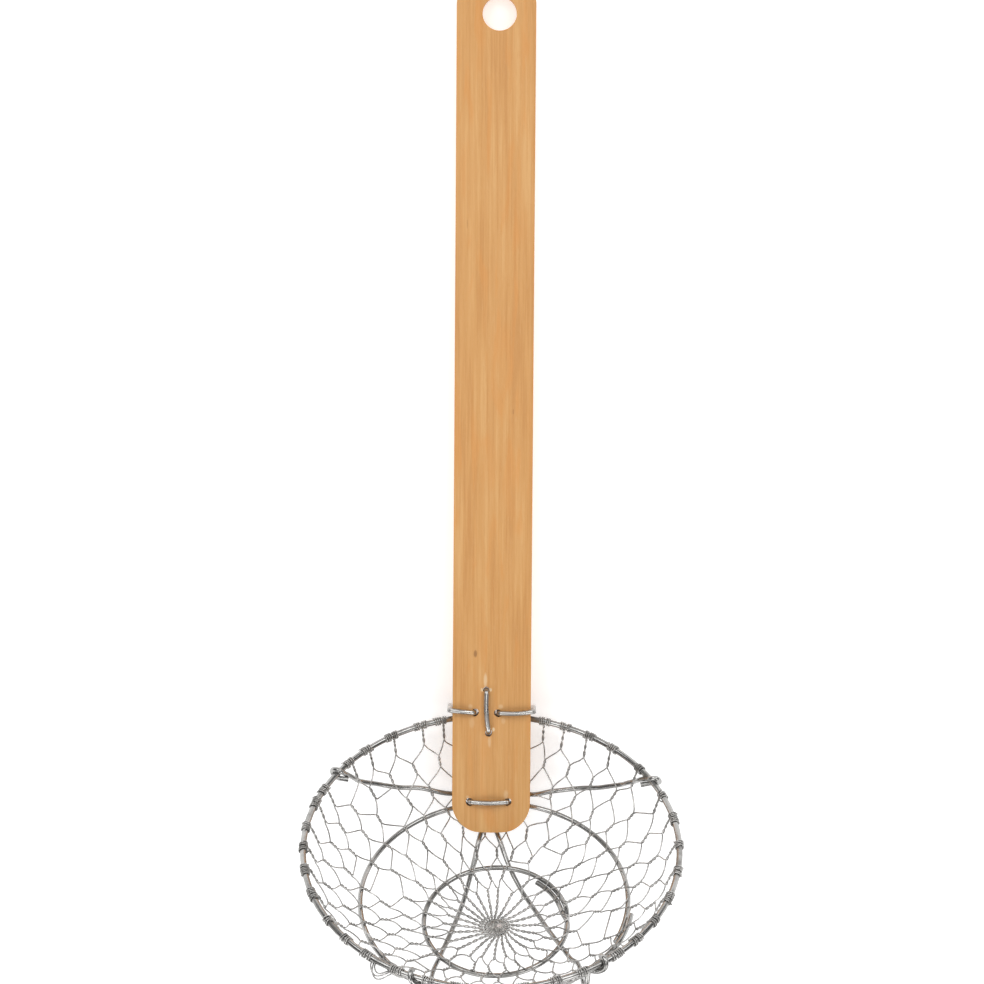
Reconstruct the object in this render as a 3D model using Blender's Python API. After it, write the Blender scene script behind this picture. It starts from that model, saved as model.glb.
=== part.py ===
# Wire strainer with a bamboo handle: a shallow bowl of hexagonal wire netting, woven onto a rim
# wire and held up by two ring wires and two crossed brace wires, lashed to a flat bamboo handle.
# Metres, +Z up. It lies as it does on a table, on its lower lashing and the far end of its handle.
from math import asin, atan2, cos, exp, pi, radians, sin, sqrt

import bmesh
import bpy
from mathutils import Matrix, Vector

# Bowl, to the centre lines of its wires
RIM_RADIUS = 0.075
BOWL_DEPTH = 0.0478
MIDDLE_RING_RADIUS = 0.0544
BASE_RING_RADIUS = 0.0295
BASE_RING_CENTRE = (0.0020, 0.0003)

# Each of the two rings is one wire that runs past its own start. Its longer end lies beside the
# ring between these azimuths, outwards or inwards, and then eases into it
MIDDLE_RING_END = (radians(-12), radians(-27), 1)
BASE_RING_END = (radians(68), radians(16), -1)
RING_END_EASE = radians(20)

# Wire diameters, and the gap left where one wire rests on another
RIM_WIRE = 0.0025
RING_WIRE = 0.0021
BRACE_WIRE = 0.0021
LASHING_WIRE = 0.0021
NET_WIRE = 0.0009
WIRE_GAP = 0.00018

# Netting: strands leave the hub, part into rows of six-sided cells and end wound round the rim
HUB_STRANDS = 24
RIM_STRANDS = 36
RIM_STRAND_START = radians(2.5)
HUB_STRAND_START = radians(5)
FIRST_ROW = 0.0195
ROW_PITCH = 0.0095
HUB_ROWS = 3
RIM_ROWS = 5
ZIGZAG_HEIGHT = 0.0034
HUB_SHIFT = (0.0028, 0.0001)
HUB_SHIFT_REACH = 0.030
END_TURNS = 2
END_TURN_POINTS = 6
END_TURN_PITCH = 0.0011
END_MEETS_RIM_AT = radians(155)

# Bamboo handle
HANDLE_LENGTH = 0.355
HANDLE_WIDTH = 0.0325
HANDLE_THICKNESS = 0.0055
HANDLE_PAST_LASHING = 0.0142
HANDLE_LEAN = radians(0.25)
HANDLE_CORNER = 0.0125
HANDLE_END_BULGE = 0.0012
HANDLE_EDGE_ROUND = 0.001
HANGING_HOLE = 0.014
HANGING_HOLE_MARGIN = 0.016
HANGING_HOLE_SHIFT = 0.0013
TIE_HOLE_CLEARANCE = 0.0003
CLIMB_PAST_HANDLE = 4.0
HELD_PAST_HANDLE = 0.0015

# Lashings, across and along the handle from the point where its middle crosses the rim
LEFT_TIE_HOLE = (-0.0073, 0.0029)
LEFT_TIE_EDGE_Y = 0.0040
RIGHT_TIE_HOLE = (0.0031, 0.0027)
RIGHT_TIE_EDGE_Y = 0.0034
MIDDLE_TIE_TOP = (-0.0022, 0.0120)
MIDDLE_TIE_BOTTOM = (-0.0013, -0.0052)
LOWER_TIE_LEFT_X = -0.0089
LOWER_TIE_RIGHT_X = 0.0065
TIE_BEND_RADIUS = 0.0014
TIE_END_GAP = 0.0012
TIE_HOOK_REACH = 0.0030

# Brace wires, across and along the bowl's opening: from the upper hook to behind the handle, where
# each bends round the lower lashing, and on to the near rim
LEFT_BRACE_HOOK = radians(149.3)
LEFT_BRACE_UPPER = ((-0.0548, 0.0479), (-0.0382, 0.0537), (-0.0166, 0.0582))
LEFT_BRACE_BEND_X = -0.0046
LEFT_BRACE_LOWER = (
    (0.0022, 0.0456),
    (0.0074, 0.0321),
    (0.0124, 0.0213),
    (0.0190, 0.0088),
    (0.0275, -0.0097),
    (0.0321, -0.0214),
    (0.0355, -0.0308),
)
LEFT_BRACE_TURN = radians(300)
LEFT_BRACE_END = radians(307.5)
RIGHT_BRACE_HOOK = radians(25.8)
RIGHT_BRACE_UPPER = ((0.0604, 0.0443), (0.0452, 0.0510), (0.0166, 0.0572))
RIGHT_BRACE_BEND_X = 0.0022
RIGHT_BRACE_LOWER = (
    (-0.0042, 0.0455),
    (-0.0074, 0.0331),
    (-0.0114, 0.0163),
    (-0.0162, 0.0),
    (-0.0204, -0.0152),
    (-0.0238, -0.0333),
)
RIGHT_BRACE_TURN = radians(252)
RIGHT_BRACE_END = radians(247.5)
BRACE_TURN_FROM_RIM = 0.0080
FAR_HOOK = (radians(-100), radians(125))
NEAR_HOOK = (radians(-25), radians(205))
HOOK_STEPS = 10
HOOK_TAIL = 0.0042
HOOK_TAIL_DROP = 0.0008

# A brace's way down from its far hook to its first upper point: the share of the turn between them,
# how far along the net from the rim, and how far outside the net
DESCENT = ((0.29, 0.0036, -0.0008), (0.52, 0.0073, 0.0023))
DESCENT_FROM_HOOK = (0.12, radians(172), 0.0003)
CROSSING_FLAT = 0.0025
CROSSING_SPREAD = 0.0045
BEND_ROOM = 0.0014

# Facets
RIM_STEPS = 96
RIM_SIDES = 8
MIDDLE_RING_STEPS = 72
BASE_RING_STEPS = 48
WIRE_SIDES = 6
TIE_SIDES = 8
BRACE_STEP = 0.003
DESCENT_STEP = 0.002
CROSSING_PARTS = 6
HOLE_STEPS = 48
TIE_HOLE_STEPS = 16
CORNER_STEPS = 8

# Colours: base colour, roughness, metallic
BAMBOO = ((0.68, 0.41, 0.17), 0.48, 0.0)
STEEL = ((0.42, 0.41, 0.39), 0.32, 1.0)
BRIGHT_STEEL = ((0.52, 0.51, 0.49), 0.24, 1.0)
NET_STEEL = ((0.47, 0.46, 0.44), 0.30, 1.0)

# The net lies on a sphere through the rim. The rings lie outside it, and the braces outside them
SPHERE_RADIUS = (RIM_RADIUS**2 + BOWL_DEPTH**2) / (2 * BOWL_DEPTH)
SPHERE_HEIGHT = SPHERE_RADIUS - BOWL_DEPTH
RIM_ARC = SPHERE_RADIUS * asin(RIM_RADIUS / SPHERE_RADIUS)
RING_OFFSET = (NET_WIRE + RING_WIRE) / 2 + WIRE_GAP
BRACE_OFFSET = RING_OFFSET + (RING_WIRE + BRACE_WIRE) / 2 + WIRE_GAP
BRACE_AT_RIM = (RIM_WIRE + BRACE_WIRE) / 2 + WIRE_GAP
HOOK_RADIUS = BRACE_AT_RIM / cos((NEAR_HOOK[1] - NEAR_HOOK[0]) / HOOK_STEPS / 2)
END_RADIUS = ((RIM_WIRE + NET_WIRE) / 2 + WIRE_GAP) / cos(pi / END_TURN_POINTS)
END_OUTSIDE = END_RADIUS + NET_WIRE / 2


def ring_depth(radius):
    outside = SPHERE_RADIUS + RING_OFFSET
    return sqrt(outside**2 - radius**2) - SPHERE_HEIGHT


# The handle lies from the rim's far point to the middle ring's, so it stands at this angle to the bowl
BOWL_ANGLE = atan2(ring_depth(MIDDLE_RING_RADIUS), RIM_RADIUS - MIDDLE_RING_RADIUS)
BOWL_TO_HANDLE = (
    Matrix.Rotation(-BOWL_ANGLE, 4, "X") @ Matrix.Translation((0, -RIM_RADIUS, 0))
)
HANDLE_TO_BOWL = BOWL_TO_HANDLE.inverted()


# The lower lashing's legs stand just behind the middle ring
def lower_tie_y():
    ring = BOWL_TO_HANDLE @ Vector((0, MIDDLE_RING_RADIUS, -ring_depth(MIDDLE_RING_RADIUS)))
    return ring.y + (RING_WIRE + LASHING_WIRE) / 2 + WIRE_GAP


# Height to which a ring of the bowl climbs, in the handle's frame, below the handle's edges
def ring_climb(radius):
    half = HANDLE_WIDTH / 2
    return (radius - sqrt(radius**2 - half**2)) * sin(BOWL_ANGLE)


HANDLE_BACK = max(
    ring_climb(MIDDLE_RING_RADIUS) + RING_WIRE / 2 + NET_WIRE + 2 * WIRE_GAP,
    ring_climb(RIM_RADIUS) + END_OUTSIDE + WIRE_GAP,
)
HANDLE_FRONT = HANDLE_BACK + HANDLE_THICKNESS
HANDLE_FOOT_Y = lower_tie_y() - HANDLE_PAST_LASHING
NET_BELOW_HANDLE = NET_WIRE / 2 + WIRE_GAP
BRACE_BELOW_HANDLE = NET_BELOW_HANDLE + (NET_WIRE + BRACE_WIRE) / 2 + WIRE_GAP


def clear_scene():
    for thing in list(bpy.data.objects):
        bpy.data.objects.remove(thing, do_unlink=True)


def make_material(name, colour, roughness, metallic):
    material = bpy.data.materials.new(name)
    material.use_nodes = True
    shader = material.node_tree.nodes["Principled BSDF"]
    shader.inputs["Base Color"].default_value = (*colour, 1)
    shader.inputs["Roughness"].default_value = roughness
    shader.inputs["Metallic"].default_value = metallic
    material.diffuse_color = (*colour, 1)
    return material


def make_empty(name, parent=None):
    empty = bpy.data.objects.new(name, None)
    empty.parent = parent
    bpy.context.scene.collection.objects.link(empty)
    return empty


def make_object(name, shape, finish, parent):
    mesh = bpy.data.meshes.new(name)
    shape.to_mesh(mesh)
    shape.free()
    mesh.shade_smooth()
    mesh.set_sharp_from_angle(angle=radians(50))
    piece = bpy.data.objects.new(name, mesh)
    mesh.materials.append(make_material(name, *finish))
    piece.parent = parent
    bpy.context.scene.collection.objects.link(piece)
    return piece


# A cutter or a guide, which is no piece of the object
def hide(piece):
    piece.hide_render = True
    piece.display_type = "WIRE"


# Round wire along the points, with as many sides as asked, carried without twist
def add_wire(shape, points, diameter, sides, closed=False):
    count = len(points)
    rings = []
    side = None
    for i, point in enumerate(points):
        if closed:
            along = points[(i + 1) % count] - points[i - 1]
        else:
            along = points[min(i + 1, count - 1)] - points[max(i - 1, 0)]
        along.normalize()
        if side is None:
            side = along.orthogonal()
        side = (side - along * side.dot(along)).normalized()
        other = along.cross(side)
        ring = []
        for k in range(sides):
            turn = 2 * pi * k / sides
            out = side * cos(turn) + other * sin(turn)
            ring.append(shape.verts.new(point + out * diameter / 2))
        rings.append(ring)
    last = count if closed else count - 1
    for i in range(last):
        one, two = rings[i], rings[(i + 1) % count]
        for k in range(sides):
            shape.faces.new((one[k], one[(k + 1) % sides], two[(k + 1) % sides], two[k]))
    if not closed:
        shape.faces.new(reversed(rings[0]))
        shape.faces.new(rings[-1])


# Smooth curve through the points, a step apart
def smooth_through(points, step):
    route = []
    for i in range(len(points) - 1):
        before = points[max(i - 1, 0)]
        start, end = points[i], points[i + 1]
        after = points[min(i + 2, len(points) - 1)]
        steps = max(2, round((end - start).length / step))
        for k in range(steps):
            t = k / steps
            route.append(
                0.5
                * (
                    2 * start
                    + (end - before) * t
                    + (2 * before - 5 * start + 4 * end - after) * t**2
                    + (3 * start - before - 3 * end + after) * t**3
                )
            )
    route.append(points[-1])
    return route


# Straight runs with each corner bent round an arc of the radius
def bend_corners(points, radius, steps=4):
    route = [points[0]]
    for before, corner, after in zip(points, points[1:], points[2:]):
        back = (before - corner).normalized()
        on = (after - corner).normalized()
        half = back.angle(on) / 2
        reach = radius * cos(half) / sin(half)
        reach = min(reach, (before - corner).length * 0.49, (after - corner).length * 0.49)
        bend = reach * sin(half) / cos(half)
        centre = corner + (back + on).normalized() * bend / sin(half)
        start = corner + back * reach - centre
        sweep = pi - 2 * half
        axis = start.cross(corner + on * reach - centre)
        for k in range(steps + 1):
            turn = Matrix.Rotation(sweep * k / steps, 3, axis)
            route.append(centre + turn @ start)
    route.append(points[-1])
    return route


# Point of the bowl, by its arc from the hub and its azimuth, and how far outside the net it lies
def bowl_point(arc, azimuth, outside=0.0):
    polar = arc / SPHERE_RADIUS
    reach = SPHERE_RADIUS + outside
    flat = reach * sin(polar)
    height = SPHERE_HEIGHT - reach * cos(polar)
    return Vector((flat * cos(azimuth), flat * sin(azimuth), height))


# Point of the bowl by its place across the opening
def lift(flat, outside=0.0):
    reach = SPHERE_RADIUS + outside
    return Vector((flat.x, flat.y, SPHERE_HEIGHT - sqrt(reach**2 - flat.length_squared)))


# Point of the netting, whose hub lies off the middle
def net_point(arc, azimuth):
    shift = Vector(HUB_SHIFT) * max(0.0, 1 - arc / HUB_SHIFT_REACH) ** 2
    return lift(bowl_point(arc, azimuth).xy + shift)


# Point on a circle round the rim wire, where 0 is outside it and a quarter turn is on its top
def round_rim(azimuth, turn, radius, along=0.0):
    out = Vector((cos(azimuth), sin(azimuth), 0))
    tangent = Vector((-sin(azimuth), cos(azimuth), 0))
    up = Vector((0, 0, 1))
    return out * (RIM_RADIUS + radius * cos(turn)) + up * radius * sin(turn) + tangent * along


# The handle's lower end holds down what passes below it, which climbs away from its edges
def below_handle(point, distance):
    seen = BOWL_TO_HANDLE @ point
    aside = max(0.0, abs(seen.x) - HANDLE_WIDTH / 2 - HELD_PAST_HANDLE)
    past = max(0.0, HANDLE_FOOT_Y - HELD_PAST_HANDLE - seen.y)
    climb = CLIMB_PAST_HANDLE * sqrt(aside**2 + past**2)
    seen.z = min(seen.z, HANDLE_BACK - distance + climb)
    return HANDLE_TO_BOWL @ seen


def strand_azimuths(count, start, half_step):
    step = 2 * pi / count
    return [start + step * (k + (0.5 if half_step else 0)) for k in range(count)]


# The net's rows, from the hub out: arc, azimuths of the strands from within, and of those going on
def net_rows():
    rows = []
    half = HUB_ROWS % 2 == 1
    for row in range(HUB_ROWS):
        inner = strand_azimuths(HUB_STRANDS, HUB_STRAND_START, half)
        outer = strand_azimuths(HUB_STRANDS, HUB_STRAND_START, not half)
        rows.append((FIRST_ROW + row * ROW_PITCH, inner, outer))
        half = not half
    half = RIM_ROWS % 2 == 1
    inner = strand_azimuths(HUB_STRANDS, HUB_STRAND_START, False)
    for row in range(RIM_ROWS):
        outer = strand_azimuths(RIM_STRANDS, RIM_STRAND_START, not half)
        rows.append((FIRST_ROW + (HUB_ROWS + row) * ROW_PITCH, inner, outer))
        inner = outer
        half = not half
    return rows


# Knots of the net, as points with the way that faces out of the bowl, and the strands between them
def net_graph():
    centre = Vector((0, 0, SPHERE_HEIGHT))
    hub = net_point(0, 0)
    knots = [(hub, hub - centre)]
    strands = []
    waiting = [0] * HUB_STRANDS
    for arc, inner, outer in net_rows():
        first = len(knots)
        places = [(azimuth % (2 * pi), -1) for azimuth in inner]
        places += [(azimuth % (2 * pi), 1) for azimuth in outer]
        places.sort()
        for azimuth, way in places:
            point = net_point(arc + way * ZIGZAG_HEIGHT / 2, azimuth)
            point = below_handle(point, NET_BELOW_HANDLE)
            knots.append((point, point - centre))
        count = len(places)
        strands += [(first + k, first + (k + 1) % count) for k in range(count)]
        reached = [first + k for k, (_, way) in enumerate(places) if way == -1]
        strands += list(zip(waiting, reached))
        waiting = [first + k for k, (_, way) in enumerate(places) if way == 1]
    hold_down(knots, strands)
    outer = sorted(azimuth % (2 * pi) for azimuth in outer)
    for knot, azimuth in zip(waiting, outer):
        for point, way in net_end(azimuth):
            knots.append((point, way))
            strands.append((knot, len(knots) - 1))
            knot = len(knots) - 1
    return knots, strands


# Parts the strands that would run through the handle, and holds their middles down below it
def hold_down(knots, strands):
    for one, two in list(strands):
        start, end = knots[one][0], knots[two][0]
        middle = (start + end) / 2
        held = below_handle(middle, NET_BELOW_HANDLE)
        if (held - middle).length < NET_WIRE / 10:
            continue
        strands.remove((one, two))
        knots.append((held, knots[one][1] + knots[two][1]))
        strands += [(one, len(knots) - 1), (len(knots) - 1, two)]


# A strand's end, wound round the rim, whose way out is the way to the middle of the rim wire
def net_end(azimuth):
    found = []
    for k in range(END_TURNS * END_TURN_POINTS + 1):
        turn = END_MEETS_RIM_AT - 2 * pi * k / END_TURN_POINTS
        along = END_TURN_PITCH * (k / END_TURN_POINTS - END_TURNS / 2)
        point = round_rim(azimuth, turn, END_RADIUS, along)
        found.append((point, round_rim(azimuth, turn, 0, along) - point))
    return found


# Four-edged strands joined at their knots: each knot has a top, a foot and a corner between strands
def weave(shape, knots, strands, wire):
    meets = [[] for _ in knots]
    for one, two in strands:
        meets[one].append(two)
        meets[two].append(one)
    tops, feet, corners = [], [], []
    for number, (point, out) in enumerate(knots):
        out = out.normalized()
        ahead = flat_way(point, knots[meets[number][0]][0], out)
        turns = []
        for other in meets[number]:
            way = flat_way(point, knots[other][0], out)
            turns.append(atan2(ahead.cross(way).dot(out), ahead.dot(way)) % (2 * pi))
        order = sorted(range(len(turns)), key=lambda k: turns[k])
        meets[number] = [meets[number][k] for k in order]
        turns = [turns[k] for k in order]
        if len(turns) == 1:
            between = [pi / 2, -pi / 2]
        else:
            after = turns[1:] + [turns[0] + 2 * pi]
            between = [(one + two) / 2 for one, two in zip(turns, after)]
        side = out.cross(ahead)
        tops.append(shape.verts.new(point + out * wire / 2))
        feet.append(shape.verts.new(point - out * wire / 2))
        corners.append(
            [shape.verts.new(point + (ahead * cos(t) + side * sin(t)) * wire / 2) for t in between]
        )
        if len(turns) == 1:
            left, right = corners[-1]
            shape.faces.new((tops[-1], left, feet[-1], right))
    for one, two in strands:
        here, there = meets[one].index(two), meets[two].index(one)
        left, right = corners[one][here], corners[one][here - 1]
        far_right, far_left = corners[two][there], corners[two][there - 1]
        shape.faces.new((tops[one], tops[two], far_left, left))
        shape.faces.new((tops[one], right, far_right, tops[two]))
        shape.faces.new((feet[one], left, far_left, feet[two]))
        shape.faces.new((feet[one], feet[two], far_right, right))


# Way from one point to another, laid flat against the way out
def flat_way(point, other, out):
    way = other - point
    return (way - out * way.dot(out)).normalized()


def make_net(bowl):
    shape = bmesh.new()
    weave(shape, *net_graph(), NET_WIRE)
    bmesh.ops.recalc_face_normals(shape, faces=shape.faces)
    make_object("wire_net", shape, NET_STEEL, bowl)


def make_rim(bowl):
    points = [round_rim(2 * pi * k / RIM_STEPS, 0, 0) for k in range(RIM_STEPS)]
    shape = bmesh.new()
    add_wire(shape, points, RIM_WIRE, RIM_SIDES, closed=True)
    make_object("rim_ring", shape, STEEL, bowl)


# One wire round the outside of the net, from its longer end clockwise to where that lies beside it
def make_ring(name, centre, radius, end, steps, bowl):
    begin, meets, side = end
    count = round((begin - meets + 2 * pi) / (2 * pi) * steps)
    points = []
    for k in range(count + 1):
        azimuth = begin - (begin - meets + 2 * pi) * k / count
        parted = min(1.0, max(0.0, 1 - (meets - azimuth) / RING_END_EASE))
        beside = side * parted**2 * (3 - 2 * parted) * (RING_WIRE + WIRE_GAP)
        flat = Vector(centre) + Vector((cos(azimuth), sin(azimuth))) * (radius + beside)
        points.append(lift(flat, RING_OFFSET))
    shape = bmesh.new()
    add_wire(shape, points, RING_WIRE, WIRE_SIDES)
    make_object(name, shape, STEEL, bowl)


# Arc behind the middle ring at which a brace wire bends round the lower lashing's leg
def bend_arc():
    ring_arc = SPHERE_RADIUS * asin(MIDDLE_RING_RADIUS / (SPHERE_RADIUS + RING_OFFSET))
    return ring_arc + (RING_WIRE + BRACE_WIRE) / 2 + LASHING_WIRE + BEND_ROOM


# Hook round the rim, from outside or below it, over its top and down on the inside
def rim_hook(azimuth, turns):
    points = []
    for k in range(HOOK_STEPS + 1):
        turn = turns[0] + (turns[1] - turns[0]) * k / HOOK_STEPS
        points.append(round_rim(azimuth, turn, HOOK_RADIUS))
    return points


# The brace's far end: a tail below the rim, the hook over it, and the way down through the net
def far_hook(azimuth, first):
    hook = rim_hook(azimuth, FAR_HOOK)
    inward = -Vector((cos(azimuth), sin(azimuth), 0))
    tail = hook[0] + inward * HOOK_TAIL - Vector((0, 0, HOOK_TAIL_DROP))
    turn = atan2(first.y, first.x) - azimuth
    share, round_wire, room = DESCENT_FROM_HOOK
    descent = [round_rim(azimuth + turn * share, round_wire, HOOK_RADIUS + room)]
    for share, from_rim, outside in DESCENT:
        descent.append(bowl_point(RIM_ARC - from_rim, azimuth + turn * share, outside))
    return [tail, *hook[:-1], *smooth_through([hook[-1], *descent, first], DESCENT_STEP)[:-1]]


# Wire from hook to hook, which lies outside the rings and passes behind the leg of the lashing
def brace_route(hook, upper, leg_x, bend_x, lower, turn, end):
    finish = bowl_point(RIM_ARC - BRACE_TURN_FROM_RIM, turn, BRACE_OFFSET)
    bend = (SPHERE_RADIUS + BRACE_OFFSET) * sin(bend_arc() / SPHERE_RADIUS)
    behind = [(x, sqrt(bend**2 - x**2)) for x in (leg_x, bend_x)]
    places = [*upper, *behind, *lower, finish.xy]
    route = []
    for place in smooth_through([Vector(place) for place in places], BRACE_STEP):
        route.append(below_handle(lift(place, BRACE_OFFSET), BRACE_BELOW_HANDLE))
    return far_hook(hook, route[0]) + route + rim_hook(end, NEAR_HOOK)


# The middle of a wire's route, with points so close that any place on it has one near
def close_points(route):
    ends = 2 * HOOK_STEPS
    middle = route[ends:-ends]
    parts = [k / CROSSING_PARTS for k in range(CROSSING_PARTS)]
    return [one.lerp(two, part) for one, two in zip(middle, middle[1:]) for part in parts]


# One brace steps out over the other where they cross
def step_over(route, other):
    centre = Vector((0, 0, SPHERE_HEIGHT))
    beside = close_points(other)
    pairs = [((a - b).length, a) for a in close_points(route) for b in beside]
    crossing = min(pairs, key=lambda pair: pair[0])[1]
    height = BRACE_WIRE + 2 * WIRE_GAP
    stepped = []
    for point in route:
        away = max(0.0, (point - crossing).length - CROSSING_FLAT)
        rise = height * exp(-((away / CROSSING_SPREAD) ** 2))
        stepped.append(point + (point - centre).normalized() * rise)
    return stepped


def make_braces(bowl):
    left = brace_route(
        LEFT_BRACE_HOOK,
        LEFT_BRACE_UPPER,
        LOWER_TIE_LEFT_X,
        LEFT_BRACE_BEND_X,
        LEFT_BRACE_LOWER,
        LEFT_BRACE_TURN,
        LEFT_BRACE_END,
    )
    right = brace_route(
        RIGHT_BRACE_HOOK,
        RIGHT_BRACE_UPPER,
        LOWER_TIE_RIGHT_X,
        RIGHT_BRACE_BEND_X,
        RIGHT_BRACE_LOWER,
        RIGHT_BRACE_TURN,
        RIGHT_BRACE_END,
    )
    right = step_over(right, left)
    for name, route in (("brace_wire_left", left), ("brace_wire_right", right)):
        shape = bmesh.new()
        add_wire(shape, route, BRACE_WIRE, WIRE_SIDES)
        make_object(name, shape, STEEL, bowl)


# Rounded end of the handle: two corner arcs and a slightly bulged edge, from +X round to -X
def handle_end(y, way):
    half = HANDLE_WIDTH / 2
    points = []
    for side in (1, -1):
        centre = (side * (half - HANDLE_CORNER), y - way * (HANDLE_CORNER + HANDLE_END_BULGE))
        for k in range(CORNER_STEPS + 1):
            turn = pi / 2 * (k / CORNER_STEPS if side == 1 else 1 - k / CORNER_STEPS)
            x = centre[0] + side * HANDLE_CORNER * cos(turn)
            points.append((x, centre[1] + way * HANDLE_CORNER * sin(turn)))
    points.insert(CORNER_STEPS + 1, (0.0, y - way * HANDLE_END_BULGE))
    return [(x, v + way * HANDLE_END_BULGE * (1 - (x / half) ** 2)) for x, v in points]


def cut_hole(handle, name, x, y, diameter, steps):
    shape = bmesh.new()
    bmesh.ops.create_cone(
        shape,
        cap_ends=True,
        segments=steps,
        radius1=diameter / 2,
        radius2=diameter / 2,
        depth=3 * HANDLE_THICKNESS,
    )
    cutter = make_object(name, shape, BAMBOO, handle.parent)
    cutter.location = (x, y, (HANDLE_BACK + HANDLE_FRONT) / 2)
    hide(cutter)
    cut = handle.modifiers.new(name, "BOOLEAN")
    cut.operation = "DIFFERENCE"
    cut.object = cutter


def make_handle(stand):
    shape = bmesh.new()
    top = HANDLE_FOOT_Y + HANDLE_LENGTH
    outline = handle_end(top, 1) + handle_end(HANDLE_FOOT_Y, -1)[::-1]
    corners = [shape.verts.new((x, y, HANDLE_BACK)) for x, y in outline]
    face = shape.faces.new(corners)
    raised = bmesh.ops.extrude_face_region(shape, geom=[face])["geom"]
    for corner in raised:
        if isinstance(corner, bmesh.types.BMVert):
            corner.co.z = HANDLE_FRONT
    bmesh.ops.recalc_face_normals(shape, faces=shape.faces)
    handle = make_object("bamboo_handle", shape, BAMBOO, stand)
    handle.rotation_euler.z = -HANDLE_LEAN
    edges = handle.modifiers.new("Rounded edges", "BEVEL")
    edges.width = HANDLE_EDGE_ROUND
    edges.segments = 2
    edges.limit_method = "ANGLE"
    edges.angle_limit = radians(60)
    hole = Vector((HANGING_HOLE_SHIFT, top - HANGING_HOLE_MARGIN))
    hole.rotate(Matrix.Rotation(-HANDLE_LEAN, 2))
    cut_hole(handle, "hanging_hole", *hole, HANGING_HOLE, HOLE_STEPS)
    tie_hole = LASHING_WIRE + 2 * TIE_HOLE_CLEARANCE
    for number, (x, y) in enumerate(tie_holes(), 1):
        cut_hole(handle, f"tie_hole_{number}", x, y, tie_hole, TIE_HOLE_STEPS)


def tie_holes():
    y = lower_tie_y()
    lower = [(LOWER_TIE_LEFT_X, y), (LOWER_TIE_RIGHT_X, y)]
    return [LEFT_TIE_HOLE, RIGHT_TIE_HOLE, MIDDLE_TIE_TOP, MIDDLE_TIE_BOTTOM, *lower]


def make_tie(name, route, stand):
    shape = bmesh.new()
    add_wire(shape, bend_corners(route, TIE_BEND_RADIUS), LASHING_WIRE, TIE_SIDES)
    make_object(name, shape, BRIGHT_STEEL, stand)


# A loop from a hole round the handle's edge, whose two ends hook the rim wire from below
def side_tie(hole, edge_y, way):
    front = HANDLE_FRONT + LASHING_WIRE / 2 + WIRE_GAP
    back = -(END_OUTSIDE + LASHING_WIRE / 2 + WIRE_GAP)
    edge_x = way * (HANDLE_WIDTH / 2 + LASHING_WIRE / 2 + WIRE_GAP)
    middle = (hole[0] + edge_x) / 2
    apart = way * (LASHING_WIRE + TIE_END_GAP) / 2
    hook_y = -TIE_HOOK_REACH
    return [
        Vector((middle - apart, hook_y, back)),
        Vector((*hole, back)),
        Vector((*hole, front)),
        Vector((edge_x, edge_y, front)),
        Vector((edge_x, edge_y, back)),
        Vector((middle + apart, hook_y, back)),
    ]


# A staple through two holes, whose ends lie side by side behind what it holds
def staple(one, two, back, aside):
    front = HANDLE_FRONT + LASHING_WIRE / 2 + WIRE_GAP
    one, two = Vector(one), Vector(two)
    span = two - one
    beside = Vector(aside) * (LASHING_WIRE + WIRE_GAP)
    inset = span.normalized() * (LASHING_WIRE + TIE_END_GAP)
    return [
        Vector((*(two - inset), back)),
        Vector((*one, back)),
        Vector((*one, front)),
        Vector((*two, front)),
        Vector((*two, back)),
        Vector((*(two + beside - inset), back)),
        Vector((*(one + beside + inset), back)),
    ]


def make_ties(stand):
    make_tie("upper_lashing_left", side_tie(LEFT_TIE_HOLE, LEFT_TIE_EDGE_Y, -1), stand)
    make_tie("upper_lashing_right", side_tie(RIGHT_TIE_HOLE, RIGHT_TIE_EDGE_Y, 1), stand)
    behind_rim = -(END_OUTSIDE + LASHING_WIRE / 2 + WIRE_GAP)
    middle = staple(MIDDLE_TIE_TOP, MIDDLE_TIE_BOTTOM, behind_rim, (1, 0))
    make_tie("upper_lashing_middle", middle, stand)
    y = lower_tie_y()
    over = (BRACE_WIRE + LASHING_WIRE) / 2 + BRACE_WIRE + 2 * WIRE_GAP
    outside = SPHERE_RADIUS + BRACE_OFFSET + over
    centre = BOWL_TO_HANDLE @ Vector((0, 0, SPHERE_HEIGHT))
    behind_braces = centre.z - sqrt(outside**2 - (centre.y - y) ** 2)
    lower = staple((LOWER_TIE_LEFT_X, y), (LOWER_TIE_RIGHT_X, y), behind_braces, (0, 1))
    make_tie("lower_lashing", lower, stand)


def all_corners(pieces):
    bpy.context.view_layer.update()
    graph = bpy.context.evaluated_depsgraph_get()
    found = []
    for piece in pieces:
        solid = piece.evaluated_get(graph)
        mesh = solid.to_mesh()
        found += [solid.matrix_world @ corner.co for corner in mesh.vertices]
        solid.to_mesh_clear()
    return found


# Turns and lifts the whole object until it lies on the table, centred over the origin
def lay_on_table(stand):
    pieces = [thing for thing in bpy.data.objects if thing.type == "MESH" and not thing.hide_render]
    corners = all_corners(pieces)
    tilt = 0.0
    for _ in range(4):
        turn = Matrix.Rotation(tilt, 3, "X")
        turned = [turn @ corner for corner in corners]
        near = min((p for p in turned if p.y < 0), key=lambda p: p.z)
        far = min((p for p in turned if p.y > HANDLE_LENGTH / 2), key=lambda p: p.z)
        tilt -= atan2(far.z - near.z, far.y - near.y)
    turn = Matrix.Rotation(tilt, 3, "X")
    turned = [turn @ corner for corner in corners]
    low = Vector([min(p[i] for p in turned) for i in range(3)])
    high = Vector([max(p[i] for p in turned) for i in range(3)])
    stand.rotation_euler.x = tilt
    stand.location = (-(low.x + high.x) / 2, -(low.y + high.y) / 2, -low.z)
    print(f"rest tilt {tilt:.6f} rad, size {tuple(round(v * 1000, 2) for v in high - low)} mm")


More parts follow.
